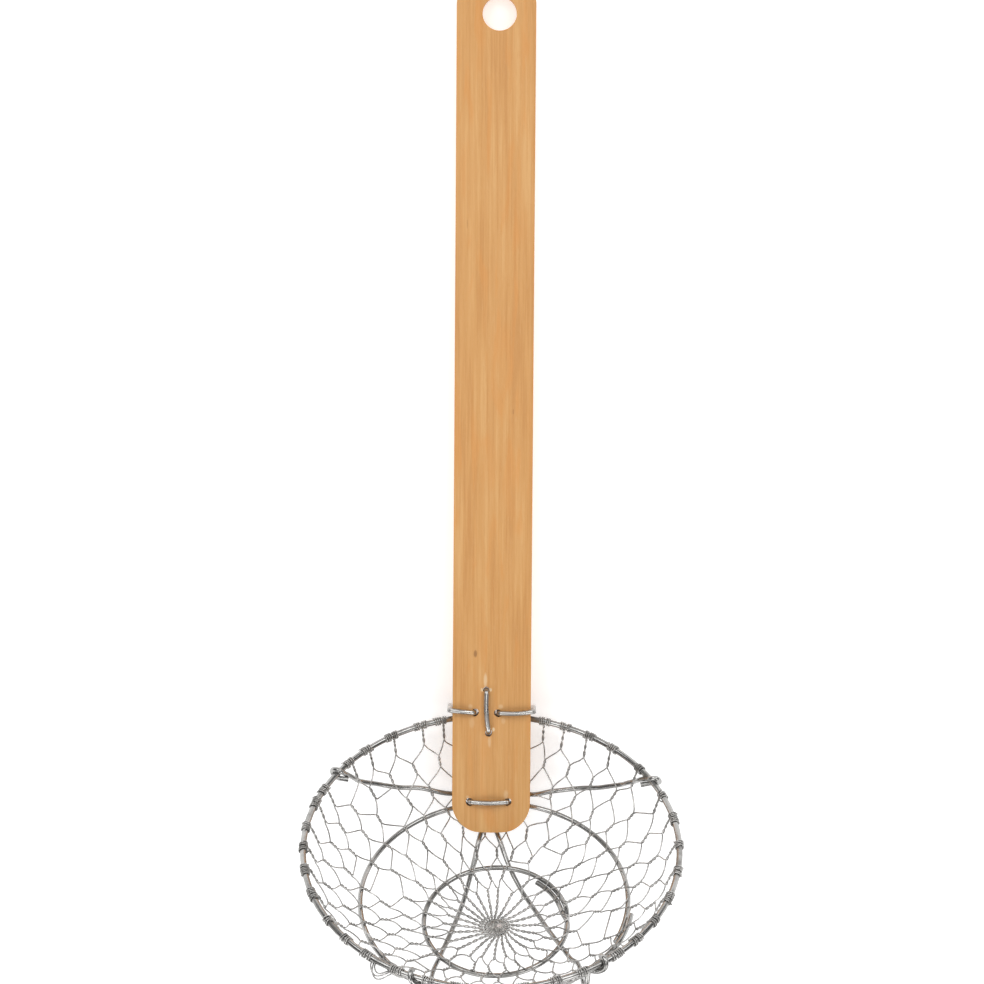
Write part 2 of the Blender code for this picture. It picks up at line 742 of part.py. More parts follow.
def main():
    clear_scene()
    stand = make_empty("table_stand")
    bowl = make_empty("bowl_axis", stand)
    bowl.matrix_basis = BOWL_TO_HANDLE
    make_rim(bowl)
    centre = (0, 0)
    make_ring("middle_ring", centre, MIDDLE_RING_RADIUS, MIDDLE_RING_END, MIDDLE_RING_STEPS, bowl)
    centre = BASE_RING_CENTRE
    make_ring("base_ring", centre, BASE_RING_RADIUS, BASE_RING_END, BASE_RING_STEPS, bowl)
    make_net(bowl)
    make_braces(bowl)
    make_handle(stand)
    make_ties(stand)
    lay_on_table(stand)


main()
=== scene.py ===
import math
import random

import bmesh
import bpy
from mathutils import Matrix, Vector


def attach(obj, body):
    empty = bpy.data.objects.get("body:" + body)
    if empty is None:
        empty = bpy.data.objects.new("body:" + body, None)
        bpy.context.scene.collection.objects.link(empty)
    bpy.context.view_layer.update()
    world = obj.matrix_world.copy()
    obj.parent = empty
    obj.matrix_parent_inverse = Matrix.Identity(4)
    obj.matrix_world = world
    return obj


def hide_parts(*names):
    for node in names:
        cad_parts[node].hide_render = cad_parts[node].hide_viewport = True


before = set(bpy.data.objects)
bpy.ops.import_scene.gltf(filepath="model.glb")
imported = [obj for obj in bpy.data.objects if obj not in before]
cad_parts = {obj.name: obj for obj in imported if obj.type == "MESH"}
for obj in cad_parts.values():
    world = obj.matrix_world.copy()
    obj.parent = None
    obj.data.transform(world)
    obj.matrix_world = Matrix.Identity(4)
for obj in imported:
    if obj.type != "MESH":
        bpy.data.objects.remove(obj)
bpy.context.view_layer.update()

print("frame loaded:", sorted(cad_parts))
perMetre = 1000  # sizes are in millimetres, the scene in metres


# Spaces: the bowl and the handle each have a space of their own
def spaceAt(origin, along):  # in millimetres: +X stays, +Y goes along
    up = Vector((1, 0, 0)).cross(along)
    axes = Matrix((Vector((1, 0, 0)), along, up)).transposed().to_4x4()
    return Matrix.Translation(origin) @ axes @ Matrix.Scale(1 / perMetre, 4)


def fitSpaces():
    rim = [corner.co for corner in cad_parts["rim_ring"].data.vertices]
    centre = sum(rim, Vector()) / len(rim)
    spread = [place - centre for place in rim]
    pairs = ((1, 1), (2, 2), (1, 2))
    yy, zz, yz = (sum(place[a] * place[b] for place in spread) for a, b in pairs)
    lean = math.atan2(2 * yz, yy - zz) / 2
    bowlSpace = spaceAt(centre, Vector((0, math.cos(lean), math.sin(lean))))
    front = Vector()
    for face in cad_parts["bamboo_handle"].data.polygons:
        if face.normal.z > bowl["facingUp"]:
            front += face.normal * face.area
    front = Vector((0, front.y, front.z)).normalized()
    rimFar = bowlSpace @ Vector((0, bowl["rimRadius"], 0))
    return bowlSpace, spaceAt(rimFar, Vector((0, front.z, -front.y)))


bowl = {
    "rimRadius": 75.0,
    "depth": 47.8,  # from the rim's circle to the hub
    "middleRadius": 54.4,  # of the solid middle ring
    "rimWire": 2.5,
    "ringWire": 2.1,
    "braceWire": 2.1,
    "lashingWire": 2.1,
    "netRoom": 0.9,  # the net's thickness in the solids
    "gap": 0.18,
    "facingUp": 0.98,  # the least rise of the normal on the handle's front
}
bowl["sphere"] = (bowl["rimRadius"] ** 2 + bowl["depth"] ** 2) / (2 * bowl["depth"])
bowl["height"] = bowl["sphere"] - bowl["depth"]
bowl["rimArc"] = bowl["sphere"] * math.asin(bowl["rimRadius"] / bowl["sphere"])
bowl["ringOffset"] = (bowl["netRoom"] + bowl["ringWire"]) / 2 + bowl["gap"]
bowl["braceOffset"] = (
    bowl["ringOffset"] + (bowl["ringWire"] + bowl["braceWire"]) / 2 + bowl["gap"]
)
bowlSpace, handleSpace = fitSpaces()
bowlToHandle = handleSpace.inverted() @ bowlSpace
handleToBowl = bowlToHandle.inverted()


# Node graphs
class Sock:  # a socket that takes part in Python sums
    def __init__(self, graph, socket):
        self.graph, self.socket = graph, socket

    def __add__(self, other):
        return self.graph.math("ADD", self, other)

    def __sub__(self, other):
        return self.graph.math("SUBTRACT", self, other)

    def __rsub__(self, other):
        return self.graph.math("SUBTRACT", other, self)

    def __mul__(self, other):
        return self.graph.math("MULTIPLY", self, other)

    def __truediv__(self, other):
        return self.graph.math("DIVIDE", self, other)

    def __rtruediv__(self, other):
        return self.graph.math("DIVIDE", other, self)

    __radd__ = __add__
    __rmul__ = __mul__


class Graph:
    def __init__(self, tree):
        self.tree = tree

    def node(self, kind, settings=None, sockets=None, out=0):
        made = self.tree.nodes.new(kind)
        for name, value in (settings or {}).items():
            setattr(made, name, value)
        for name, value in (sockets or {}).items():
            self.plug(made.inputs[name], value)
        return Sock(self, made.outputs[out])

    def plug(self, socket, value):
        if isinstance(value, Sock):
            self.tree.links.new(value.socket, socket)
        else:
            socket.default_value = value

    def math(self, operation, first, second=0.0):
        return self.node("ShaderNodeMath", {"operation": operation}, {0: first, 1: second})

    def vector(self, operation, first, second=None):
        sockets = {0: first}
        if second is not None:
            sockets["Scale" if operation == "SCALE" else 1] = second
        return self.node("ShaderNodeVectorMath", {"operation": operation}, sockets)

    def blend(self, factor, first, second):  # of two colours
        sockets = {0: factor, 6: first, 7: second}
        return self.node("ShaderNodeMix", {"data_type": "RGBA"}, sockets, out=2)

    def noise(self, place, scale, detail, rough, warp=0.0):
        sockets = {"Vector": place, "Scale": scale, "Detail": detail, "Roughness": rough}
        sockets["Distortion"] = warp
        return self.node("ShaderNodeTexNoise", sockets=sockets)

    def smooth(self, value, low, high, toLow=0.0, toHigh=1.0):
        settings = {"interpolation_type": "SMOOTHSTEP"}
        sockets = {0: value, 1: low, 2: high, 3: toLow, 4: toHigh}
        return self.node("ShaderNodeMapRange", settings, sockets)


# Wires: one tree sweeps every wire along its points
def makeWireTree():
    tree = bpy.data.node_groups.new("wireSweep", "GeometryNodeTree")
    face = tree.interface
    face.new_socket("Geometry", in_out="INPUT", socket_type="NodeSocketGeometry")
    for name, kind in (
        ("Wire Diameter", "NodeSocketFloat"),
        ("Profile Sides", "NodeSocketInt"),
        ("Step", "NodeSocketFloat"),
        ("Twist Radius", "NodeSocketFloat"),
        ("Sphere Centre", "NodeSocketVector"),
        ("Finish", "NodeSocketMaterial"),
    ):
        face.new_socket(name, in_out="INPUT", socket_type=kind)
    face.new_socket("Geometry", in_out="OUTPUT", socket_type="NodeSocketGeometry")
    graph = Graph(tree)
    start = tree.nodes.new("NodeGroupInput")
    given = {socket.name: Sock(graph, socket) for socket in start.outputs if socket.name}
    node = graph.node
    curve = node("GeometryNodeMeshToCurve", sockets={"Mesh": given["Geometry"]})
    curve = node("GeometryNodeCurveSplineType", {"spline_type": "CATMULL_ROM"}, {"Curve": curve})
    sockets = {"Curve": curve, "Length": given["Step"]}
    curve = node("GeometryNodeResampleCurve", {"mode": "LENGTH"}, sockets)
    here = node("GeometryNodeInputPosition")
    out = graph.vector("NORMALIZE", graph.vector("SUBTRACT", here, given["Sphere Centre"]))
    side = graph.vector("CROSS_PRODUCT", node("GeometryNodeInputTangent"), out)
    side = graph.vector("NORMALIZE", side)
    phase, twist = (
        node("GeometryNodeInputNamedAttribute", {"data_type": "FLOAT"}, {"Name": name})
        for name in ("phase", "twist")
    )
    reach = twist * given["Twist Radius"]
    across = graph.vector("SCALE", side, graph.math("COSINE", phase) * reach)
    outward = graph.vector("SCALE", out, graph.math("SINE", phase) * reach)
    shift = graph.vector("ADD", across, outward)
    curve = node("GeometryNodeSetPosition", sockets={"Geometry": curve, "Offset": shift})
    sockets = {"Resolution": given["Profile Sides"], "Radius": given["Wire Diameter"] * 0.5}
    profile = node("GeometryNodeCurvePrimitiveCircle", sockets=sockets)
    sockets = {"Curve": curve, "Profile Curve": profile, "Fill Caps": True}
    solid = node("GeometryNodeCurveToMesh", sockets=sockets)
    solid = node("GeometryNodeSetShadeSmooth", sockets={"Geometry": solid})
    solid = node("GeometryNodeRealizeInstances", sockets={"Geometry": solid})
    sockets = {"Geometry": solid, "Material": given["Finish"]}
    solid = node("GeometryNodeSetMaterial", sockets=sockets)
    end = tree.nodes.new("NodeGroupOutput")
    tree.links.new(solid.socket, end.inputs[0])
    return tree


# A path is its points, each with its phase and share of the twist, and whether it is closed
def sweepWires(name, paths, values, *nodes):
    mesh = bpy.data.meshes.new(name + "Route")
    points, edges, phases, twists = [], [], [], []
    for path, closed in paths:
        first = len(points)
        for point, phase, twist in path:
            points.append(point)
            phases.append(phase)
            twists.append(twist)
        edges += [(k, k + 1) for k in range(first, len(points) - 1)]
        if closed:
            edges.append((len(points) - 1, first))
    mesh.from_pydata(points, edges, [])
    for label, numbers in (("phase", phases), ("twist", twists)):
        mesh.attributes.new(label, "FLOAT", "POINT").data.foreach_set("value", numbers)
    guide = placed(name + "Guide", mesh)
    sweep = guide.modifiers.new("wires", "NODES")
    sweep.node_group = wireTree
    centre = bowlSpace @ Vector((0, 0, bowl["height"]))
    inputs = {
        "Wire Diameter": values["diameter"] / perMetre,
        "Profile Sides": values["sides"],
        "Step": values["step"] / perMetre,
        "Twist Radius": values.get("twistRadius", 0.0) / perMetre,
        "Sphere Centre": tuple(centre),
        "Finish": finishes[values["finish"]],
    }
    for item in wireTree.interface.items_tree:
        if item.in_out == "INPUT" and item.name in inputs:
            sweep[item.identifier] = inputs[item.name]
    settle(bakeDown(guide, name), values["slot"], *nodes)


def makeWire(name, points, space, values, *nodes, closed=False):  # one wire, untwisted
    sweepWires(name, [([(space @ point, 0.0, 0.0) for point in points], closed)], values, *nodes)


def bakeDown(guide, name):  # the evaluated shape becomes a plain mesh
    bpy.context.view_layer.update()
    graph = bpy.context.evaluated_depsgraph_get()
    mesh = bpy.data.meshes.new_from_object(guide.evaluated_get(graph), depsgraph=graph)
    for modifier in list(guide.modifiers):
        guide.modifiers.remove(modifier)
    bpy.data.objects.remove(guide, do_unlink=True)
    for attribute in list(mesh.attributes):
        if attribute.name in ("phase", "twist"):
            mesh.attributes.remove(attribute)
    mesh.name = name
    return placed(name, mesh)


def placed(name, data):
    made = bpy.data.objects.new(name, data)
    bpy.context.scene.collection.objects.link(made)
    return made


def meshPiece(name, shape):
    mesh = bpy.data.meshes.new(name)
    shape.to_mesh(mesh)
    shape.free()
    return placed(name, mesh)


def settle(piece, slot, *nodes):
    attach(piece, "root")
    if nodes:
        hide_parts(*nodes)
    print("made", piece.name, len(piece.data.polygons), "faces")


def smoothThrough(points, steps):  # Catmull-Rom points
    route = []
    held = [points[0], *points, points[-1]]
    for before, start, end, after in zip(held, points, points[1:], held[3:]):
        linear = end - before
        square = 2 * before - 5 * start + 4 * end - after
        cube = 3 * start - before - 3 * end + after
        for k in range(steps):
            t = k / steps
            route.append(0.5 * (2 * start + linear * t + square * t**2 + cube * t**3))
    return [*route, points[-1]]


# Bowl
def bowlPoint(arc, azimuth, outside=0.0):
    polar = arc / bowl["sphere"]
    reach = bowl["sphere"] + outside
    flat = reach * math.sin(polar)
    height = bowl["height"] - reach * math.cos(polar)
    return Vector((flat * math.cos(azimuth), flat * math.sin(azimuth), height))


def lift(x, y, outside=0.0):  # up to the net's sphere
    reach = bowl["sphere"] + outside
    return Vector((x, y, bowl["height"] - math.sqrt(reach**2 - x**2 - y**2)))


def roundRim(azimuth, turn, radius, along=0.0):  # 0 outside the rim, 90 degrees on its top
    azimuth = azimuth + along / bowl["rimRadius"]
    out = Vector((math.cos(azimuth), math.sin(azimuth), 0))
    reach = bowl["rimRadius"] + radius * math.cos(turn)
    return out * reach + Vector((0, 0, radius * math.sin(turn)))


def ringDepth(radius):
    outside = bowl["sphere"] + bowl["ringOffset"]
    return math.sqrt(outside**2 - radius**2) - bowl["height"]


handle = {
    "length": 354.4,
    "width": 32.5,
    "corner": 10.8,
    "cornerSteps": 16,
    "bulge": 1.6,  # how far the ends curve out
    "edge": 0.8,  # the edges' rounding
    "edgeSteps": 4,
    "sharpFrom": math.radians(60),
    "smoothTo": math.radians(40),
    "hangingHole": 14.0,
    "hangingMargin": 16.0,  # from the handle's end to the hole's middle
    "hangingShift": 1.3,
    "hangingSides": 64,
    "pastLashing": 13.0,
    "ringFar": 53.75,  # where the middle ring runs behind the handle
    "lean": math.radians(0.25),
    # where the lashings' wires pass: left, right, the middle one's two, then the lower one's
    "tieHoles": ((-7.3, 2.9), (3.1, 2.7), (-2.2, 12.0), (-1.3, -5.2)),
    "lowerTieX": (-8.9, 6.5),
    # how far each of those holes lies off its wire, and its radius
    "tieSpare": (
        (0.45, 0.0, 1.55), (-0.45, -0.1, 1.6), (0.0, 0.3, 1.4),
        (0.1, -0.4, 1.55), (-0.2, -0.1, 1.65), (0.2, -0.1, 1.6),
    ),
    "tieSides": 24,
    "chipped": 0.07,  # how far the tie holes are from round
    "cutterLength": 30.0,
    "netBelow": 0.75,  # how far the net's wires stay below the back
    "netClimb": 4.0,  # how steeply they rise beside it
    "netMargin": 1.5,
}
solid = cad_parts["bamboo_handle"].data
corners = [handleSpace.inverted() @ corner.co for corner in solid.vertices]
handle["back"] = min(place.z for place in corners)
handle["front"] = max(place.z for place in corners)
ringFar = handle["ringFar"]
ringPoint = bowlToHandle @ Vector((0, ringFar, -ringDepth(ringFar)))
handle["lowerTieY"] = ringPoint.y + (bowl["ringWire"] + bowl["lashingWire"]) / 2 + bowl["gap"]
handle["foot"] = handle["lowerTieY"] - handle["pastLashing"]
wires = [*handle["tieHoles"], *((x, handle["lowerTieY"]) for x in handle["lowerTieX"])]
handle["ties"] = [
    (x + aside, y + beyond, wide)
    for (x, y), (aside, beyond, wide) in zip(wires, handle["tieSpare"])
]
print("handle back and front at", round(handle["back"], 3), round(handle["front"], 3))


def belowHandle(point, distance):  # held down under the handle's end
    seen = bowlToHandle @ point
    aside = max(0.0, abs(seen.x) - handle["width"] / 2 - handle["netMargin"])
    past = max(0.0, handle["foot"] - handle["netMargin"] - seen.y)
    ceiling = handle["back"] - distance + handle["netClimb"] * math.hypot(aside, past)
    seen.z = min(seen.z, ceiling)
    return handleToBowl @ seen


# Finishes
def newMaterial(name):
    material = bpy.data.materials.new(name)
    material.use_nodes = True
    return material, Graph(material.node_tree), material.node_tree.nodes["Principled BSDF"]


steelLook = {
    "patchNoise": (3.0, 0.6),  # detail, roughness
    "scratchNoise": (2.0, 0.7),
    "dullEdge": (0.42, 0.66),  # the noise values between which the metal turns dull
    "scratchShare": 0.02,  # in the roughness
    "scratchDepth": 0.0001,
}


def steelFinish(name, values):  # drawn wire: dull patches and fine scratches
    material, graph, shader = newMaterial(name)
    patchScale, patchDepth = values["patches"]
    scratchScale, bump = values["scratches"]
    least, spread = values["roughness"]
    here = graph.node("ShaderNodeTexCoord", out="Object")
    fine = graph.noise(here, scratchScale, *steelLook["scratchNoise"])
    cloud = graph.noise(here, patchScale, *steelLook["patchNoise"])
    dull = graph.smooth(cloud, *steelLook["dullEdge"])
    colour = graph.blend(dull * patchDepth, (*values["bright"], 1), (*values["dull"], 1))
    graph.plug(shader.inputs["Base Color"], colour)
    scratches = (fine - 0.5) * steelLook["scratchShare"]
    graph.plug(shader.inputs["Roughness"], dull * spread + scratches + least)
    shader.inputs["Metallic"].default_value = values.get("metallic", 1.0)
    if bump:
        sockets = {"Height": fine, "Strength": bump, "Distance": steelLook["scratchDepth"]}
        graph.plug(shader.inputs["Normal"], graph.node("ShaderNodeBump", sockets=sockets))
    return material


steels = {
    # patches: scale and depth; scratches: scale and bump; roughness: where bright, and its spread
    "frameSteel": {
        "bright": (0.43, 0.425, 0.415),
        "dull": (0.23, 0.225, 0.215),
        "patches": (90.0, 0.8),
        "scratches": (1600.0, 0.08),
        "roughness": (0.19, 0.12),
    },
    "netSteel": {
        "bright": (0.50, 0.49, 0.475),
        "dull": (0.25, 0.243, 0.232),
        "patches": (140.0, 0.8),
        "scratches": (2200.0, 0.05),
        "roughness": (0.24, 0.12),
    },
    "lashingSteel": {
        "bright": (0.56, 0.55, 0.53),
        "dull": (0.40, 0.385, 0.365),
        "patches": (160.0, 0.6),
        "scratches": (1800.0, 0),
        "roughness": (0.27, 0.06),
    },
    "solder": {
        "bright": (0.70, 0.64, 0.62),
        "dull": (0.52, 0.46, 0.45),
        "patches": (300.0, 0.5),
        "scratches": (1500.0, 0.2),
        "roughness": (0.55, 0.14),
        "metallic": 0.25,
    },
}
finishes = {name: steelFinish(name, values) for name, values in steels.items()}

bamboo = {
    "light": (0.70, 0.390, 0.146),
    "body": (0.645, 0.328, 0.106),
    "dark": (0.58, 0.274, 0.080),
    "warm": (0.68, 0.290, 0.070),
    "pale": (0.86, 0.68, 0.44),
    # brown of the small dark specks, also used for the painted shade inside the tie holes
    "brownSpecksAndHoleShade": (0.16, 0.06, 0.02),
    "roughness": (0.46, 0.16),  # middle and spread
    "relief": (0.35, 0.00012),  # strength and depth
    "reliefShares": (0.5, 0.3, 0.4),  # of fine, hairs and strips
    "toneShares": (0.42, 0.36, 0.22),  # of broad, strips and fine
    # fibres: noise steps in a millimetre across, along and through, detail, roughness, warp
    "broad": (0.16, 0.010, 0.2, 2.0, 0.6, 0.0),
    "strips": (0.75, 0.014, 0.7, 3.0, 0.6, 0.0),
    "fine": (3.2, 0.05, 3.0, 3.0, 0.7, 0.0),
    "hairs": (9.0, 0.22, 8.0, 2.0, 0.7, 0.0),
    "pores": (4.6, 0.16, 4.0, 1.0, 0.6, 0.0),
    "patches": (0.20, 0.030, 0.2, 2.0, 0.5, 0.6),
    # the noise values between which each shows, and how strongly
    "toneEdge": (0.36, 0.64),
    "bodyAt": 0.55,  # the tone at which the dark ends and the light begins
    "patchEdge": (0.48, 0.70, 0.5),
    "poreEdge": (0.62, 0.74, 0.35),
    "hairEdge": (0.55, 0.8, 0.18),
    # pale torn fibres beside the holes: across, along, half width, half length, strength
    "marks": (
        (-2.6, 16.4, 0.9, 3.4, 0.5), (-4.0, 12.4, 0.7, 0.9, 0.75), (-0.5, 12.4, 0.7, 0.9, 0.75),
        (0.8, -4.2, 0.7, 1.0, 0.85), (-0.9, -9.4, 0.8, 2.6, 0.3), (-8.8, 5.4, 1.1, 1.3, 0.26),
        (-8.2, -1.4, 1.3, 2.6, 0.16), (3.8, 5.4, 1.2, 1.1, 0.3), (4.9, -0.6, 1.1, 1.5, 0.2),
        (6.0, -31.6, 1.1, 2.4, 0.3), (-10.0, -32.6, 0.9, 0.8, 0.3),
    ),
    # small dark specks, the same way
    "specks": (
        (-6.8, 27.6, 0.9, 1.8, 0.55), (8.6, 128.0, 0.4, 1.4, 0.25), (-10.5, 205.0, 0.3, 2.2, 0.2),
    ),
    "ragged": 1.6,  # how far the fibres fray a mark
    "markEdge": (0.15, 1.1),
    "holeShadeReach": (3.4, 6.0),  # squares of the distances between which the painted shade inside the tie holes ends
    # depths below the front at which the painted hole shade is full and at which it has faded out
    "holeShadeDepth": (0.9, 0.1),
}


def bambooFinish():
    material, graph, shader = newMaterial("bambooSlat")
    here = graph.node("ShaderNodeTexCoord", out="Object")
    local = graph.vector("SUBTRACT", here, tuple(handleSpace.to_translation()))
    sockets = {"Vector": local, "Rotation": (-handleSpace.to_euler().x, 0, 0)}
    turned = graph.node("ShaderNodeMapping", sockets=sockets)
    inMm = graph.vector("SCALE", turned, float(perMetre))
    x, y, z = (graph.node("ShaderNodeSeparateXYZ", sockets={0: inMm}, out=k) for k in range(3))

    def fibres(name):
        across, along, through, detail, rough, warp = bamboo[name]
        sockets = {0: x * across, 1: y * along, 2: z * through}
        grain = graph.node("ShaderNodeCombineXYZ", sockets=sockets)
        return graph.noise(grain, 1.0, detail, rough, warp)

    def shows(value, low, high, strength):
        return graph.smooth(value, low, high) * strength

    def fades(value, low, high):
        return graph.smooth(value, low, high, 1.0, 0.0)

    def solid(name):
        return (*bamboo[name], 1)

    names = ("broad", "strips", "fine", "hairs", "pores", "patches")
    broad, strips, fine, hairs, pores, patches = (fibres(name) for name in names)
    shares = bamboo["toneShares"]
    tone = broad * shares[0] + strips * shares[1] + fine * shares[2]
    tone = graph.smooth(tone, *bamboo["toneEdge"])
    bodyAt = bamboo["bodyAt"]
    colour = graph.blend(graph.smooth(tone, 0.0, bodyAt), solid("dark"), solid("body"))
    colour = graph.blend(graph.smooth(tone, bodyAt, 1.0), colour, solid("light"))
    colour = graph.blend(shows(patches, *bamboo["patchEdge"]), colour, solid("warm"))
    dashes = shows(pores, *bamboo["poreEdge"])
    colour = graph.blend(dashes, colour, solid("dark"))
    colour = graph.blend(shows(hairs, *bamboo["hairEdge"]), colour, solid("pale"))
    for kind, shade in (("marks", "pale"), ("specks", "brownSpecksAndHoleShade")):
        for across, along, halfWidth, halfLength, strength in bamboo[kind]:
            dx, dy = (x - across) / halfWidth, (y - along) / halfLength
            away = dx * dx + dy * dy + (hairs - 0.5) * bamboo["ragged"]
            spot = fades(away, *bamboo["markEdge"]) * strength
            colour = graph.blend(spot, colour, solid(shade))
    deep, shallow = bamboo["holeShadeDepth"]
    below = fades(z, handle["front"] - deep, handle["front"] - shallow)
    for across, along, _ in handle["ties"]:  # painted shade: the tie holes' walls below the front are darkened
        dx, dy = x - across, y - along
        near = fades(dx * dx + dy * dy, *bamboo["holeShadeReach"])
        colour = graph.blend(near * below, colour, solid("brownSpecksAndHoleShade"))
    graph.plug(shader.inputs["Base Color"], colour)
    middle, spread = bamboo["roughness"]
    graph.plug(shader.inputs["Roughness"], (fine - 0.5) * spread + middle)
    strength, depth = bamboo["relief"]
    shares = bamboo["reliefShares"]
    height = fine * shares[0] + hairs * shares[1] + strips * shares[2] - dashes
    sockets = {"Height": height, "Strength": strength, "Distance": depth}
    graph.plug(shader.inputs["Normal"], graph.node("ShaderNodeBump", sockets=sockets))
    return material


finishes["bamboo"] = bambooFinish()
print("finishes ready:", sorted(finishes))
wireTree = makeWireTree()


# Rings
frameLook = {"finish": "frameSteel", "slot": "frame_steel"}
rings = {
    "rimWire": {"diameter": bowl["rimWire"], "sides": 24, "step": 1.0, **frameLook},
    "ringWire": {"diameter": bowl["ringWire"], "sides": 20, "step": 0.9, **frameLook},
    "rimPoints": 96,
    "ringPoints": 160,
    # radius, centre, azimuths between which the longer end lies beside the ring, its side, how
    # far the shorter end runs on below the longer one, node
    "middleRing": (54.25, (1.15, -0.5), (-12, -27, 1), 0, "middle_ring"),
    "baseRing": (29.5, (2.0, 0.3), (52, 12, -1), 30, "base_ring"),
    "ease": math.radians(20),  # over which an end leaves the ring
    "apart": 0.04,  # between the ring and the end beside it
    "belowBy": 2.15,
    "drawnIn": 0.7,
}


def ringRoute(radius, centre, end, runOn):
    begin, meets, side = math.radians(end[0]), math.radians(end[1]), end[2]
    turn = begin - meets + math.tau + math.radians(runOn)
    points = []
    for k in range(rings["ringPoints"] + 1):
        azimuth = begin - turn * k / rings["ringPoints"]
        parted = min(1.0, max(0.0, 1 - (meets - azimuth) / rings["ease"]))
        over = min(1.0, max(0.0, (meets - math.tau - azimuth) / rings["ease"]))
        beside = side * parted**2 * (3 - 2 * parted) * (bowl["ringWire"] + rings["apart"])
        reach = radius + beside - rings["drawnIn"] * over
        x, y = centre[0] + reach * math.cos(azimuth), centre[1] + reach * math.sin(azimuth)
        points.append(lift(x, y, bowl["ringOffset"] + rings["belowBy"] * over))
    return points


def makeRings():
    count = rings["rimPoints"]
    circle = [roundRim(math.tau * k / count, 0, 0) for k in range(count)]
    makeWire("rimWire", circle, bowlSpace, rings["rimWire"], "rim_ring", closed=True)
    for name in ("middleRing", "baseRing"):
        radius, centre, end, runOn, node = rings[name]
        route = ringRoute(radius, centre, end, runOn)
        makeWire(name, route, bowlSpace, rings["ringWire"], node)


# Netting
net = {
    "seed": 11,
    # each row: arc from the hub, height of its zigzag, pairs that leave it outwards
    "rows": (
        (21.4, 3.4, 24), (31.0, 4.2, 26), (40.6, 4.4, 28), (50.2, 4.6, 30),
        (60.2, 4.6, 34), (70.8, 4.7, 36), (81.6, 4.4, 36),
    ),
    "hubStrands": 24,
    # azimuths at which the pairs end on the rim, in degrees
    "rimEnds": (
        (0.2, 11.6, 21.4, 35.3, 47.8, 57.3, 65.5, 72.6, 83.7, 94.9, 106.0, 113.2)
        + (123.6, 133.4, 141.3, 155.4, 162.4, 172.2, 181.0, 190.0, 201.5, 212.2, 221.8, 230.9)
        + (241.6, 251.2, 260.6, 269.7, 279.3, 288.9, 297.6, 309.4, 318.2, 327.6, 337.1, 348.8)
    ),
    "evenings": 6,  # rounds of evening out the pairs
    "leastShare": 0.3,  # of its gap that a pair keeps on either side
    "wander": 0.9,  # how far a knot strays along the arc
    "turnWander": 0.9,  # and round the bowl
    "turnArc": 20.0,  # inside which that shrinks no more
    "hubShift": (2.8, 0.1),
    "hubReach": 30.0,  # how far out the shift fades
    "hubRadius": 1.2,
    "hubSink": 0.5,
    "swirl": 0.8,
    "armShares": (0.0, 0.06, 0.14, 0.26, 0.4, 0.6, 0.8, 1.0),
    "foldRadius": 0.72,
    "foldTurn": 1.2,
    "foldSink": (0.9, 0.1),
    "cornerReach": 1.2,
    "softFrom": 2.75,  # corners wider than this stay
    "cornerShare": 0.42,  # the most of a run that a corner takes
    "halfTurns": 3,  # of a pair between two knots
    "pairShares": (0.16, 0.5, 0.84, 1.0),
    "hubHalfTurns": 9,
    "sag": 3.0,  # how far below the sphere a wire may cut across
    "windRadius": 1.56,
    "windPitch": 0.86,
    "windStart": 0.36,  # half the gap between a pair's two windings
    "windSteps": 8,
    "windings": (2, 2, 2, 3),
    "meetsRim": math.radians(165),
    "touchRoom": 0.3,
    "rimShares": (0.2, 0.5, 0.8),
    "uneven": 0.12,
    "looseEnd": (0.1, 0.8),  # how far a winding's end may stand off
    "looseTurn": 0.6,
    # loose wire outside the rim: azimuths of its ends, how far it stands off
    "loops": ((231.6, 240.6, 3.6), (232.4, 241.4, 4.6), (233.4, 239.6, 2.4)),
    "loopSteps": 16,
    "loopTurn": (-120, 90),  # where it lies round the rim, and how far it comes up
}
netLook = {"finish": "netSteel", "slot": "net_steel"}
netWire = {"diameter": 0.60, "sides": 6, "step": 0.5, "twistRadius": 0.36, **netLook}


def netPoint(arc, azimuth, outside=0.0):  # the hub lies off the middle
    spot = bowlPoint(arc, azimuth, outside)
    fade = max(0.0, 1 - arc / net["hubReach"]) ** 2
    return lift(spot.x + net["hubShift"][0] * fade, spot.y + net["hubShift"][1] * fade, outside)


def netLevels():  # azimuths of the pairs between the rows, from the hub outwards
    chance = random.Random(net["seed"] + 2)
    outer = [math.radians(end) for end in net["rimEnds"]]
    levels = [outer]
    counts = [net["hubStrands"]] + [row[2] for row in net["rows"][:-1]]
    for count in reversed(counts):
        gaps = [(a, b) for a, b in zip(outer, outer[1:] + [outer[0] + math.tau])]
        dropped, start = set(), chance.random()
        extra = len(gaps) - count
        for k in range(extra):
            dropped.add(int((k + start) * len(gaps) / extra) % len(gaps))
        kept = [gap for k, gap in enumerate(gaps) if k not in dropped]
        inner = [(a + b) / 2 for a, b in kept]
        for _ in range(net["evenings"]):  # each stays between its own two
            ring = [inner[-1] - math.tau, *inner, inner[0] + math.tau]
            evened = []
            for before, here, after, (a, b) in zip(ring, inner, ring[2:], kept):
                least = net["leastShare"] * (b - a)
                middle = 0.5 * here + 0.25 * (before + after)
                evened.append(min(max(middle, a + least), b - least))
            inner = evened
        levels.insert(0, inner)
        outer = inner
    return [[round(azimuth % math.tau, 5) for azimuth in level] for level in levels]


def netKnots():  # each row's knots in order round the bowl: azimuth, way and place
    chance = random.Random(net["seed"])
    levels = netLevels()
    rows = []
    for (arc, zigzag, _), inner, outer in zip(net["rows"], levels, levels[1:]):
        found = sorted([(a, -1) for a in inner] + [(a, 1) for a in outer])
        row = []
        for azimuth, way in found:
            stray = net["wander"] * chance.uniform(-1, 1)
            turn = net["turnWander"] * chance.uniform(-1, 1) / max(arc, net["turnArc"])
            point = netPoint(arc + way * zigzag / 2 + stray, azimuth + turn)
            row.append((azimuth, way, belowHandle(point, handle["netBelow"])))
        rows.append(row)
    return rows


